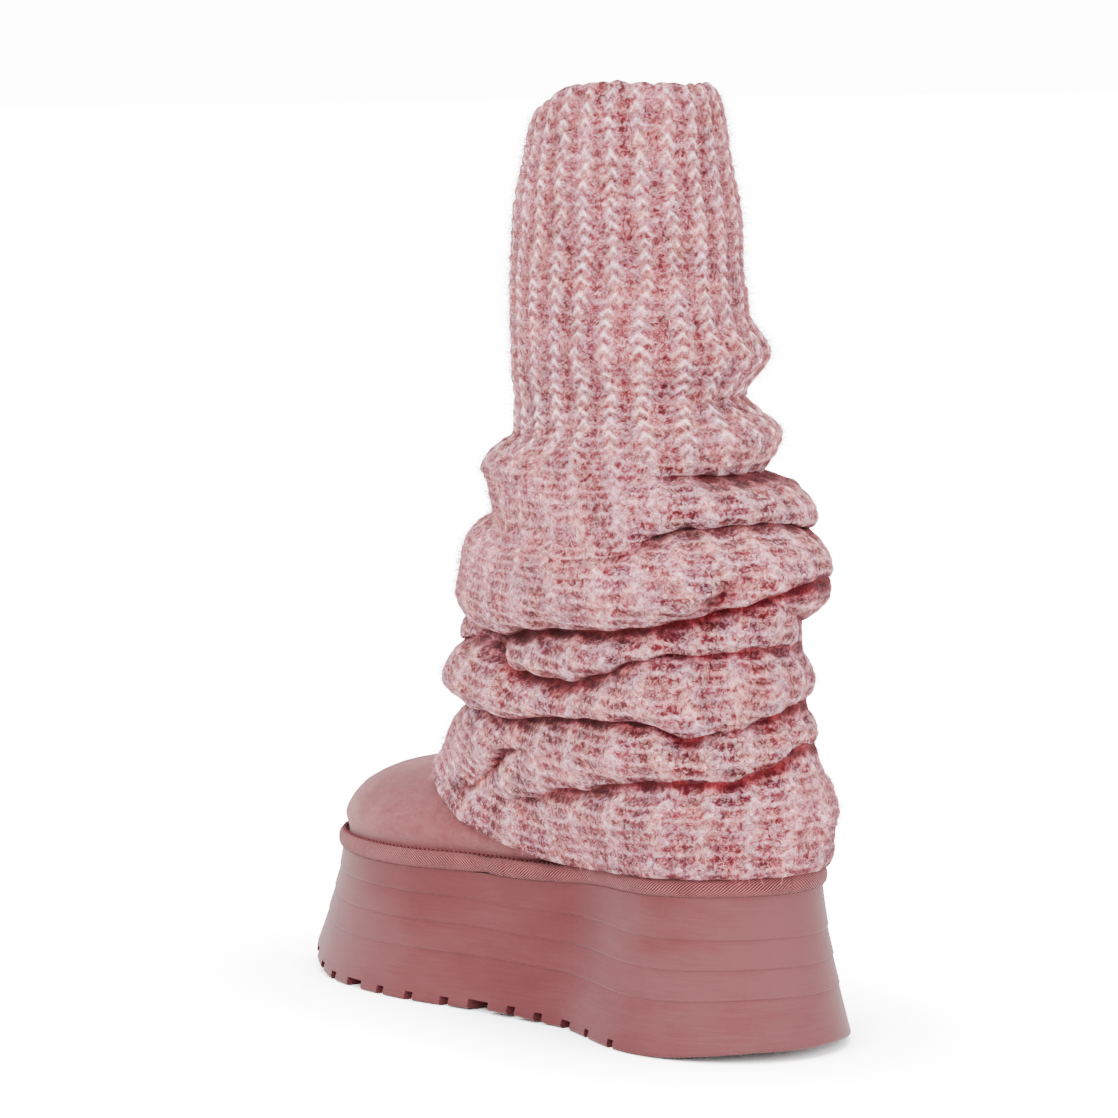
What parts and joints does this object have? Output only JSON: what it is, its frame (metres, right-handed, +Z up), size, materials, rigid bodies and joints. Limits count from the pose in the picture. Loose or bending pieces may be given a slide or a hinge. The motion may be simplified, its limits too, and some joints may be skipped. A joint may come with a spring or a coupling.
{
  "type": "legwarmer boot",
  "caption": "Right ankle boot on a flared platform sole, with a suede foot, a twill tape at its edge and a slouched chunky knit tube that rises from the vamp.",
  "frame": {"origin": "on the ground under the middle of the boot's bounding box", "axes": "+Z up, -Y towards the toe, +X towards the inner (medial) side of this right boot"},
  "size_m": [0.121, 0.2784, 0.3512],
  "materials": {
    "moulded_sole": "matte moulded foam with faint brushed bands",
    "suede": "napped suede",
    "twill_tape": "woven twill",
    "fleece": "short fleece pile",
    "marled_knit": "chunky brushed rib knit in marled yarn"
  },
  "bodies": {
    "root": {"platform_sole": "moulded_sole", "suede_upper": "suede", "binding_tape": "twill_tape", "insole": "fleece", "knit_legwarmer": "marled_knit"}
  },
  "joints": []
}
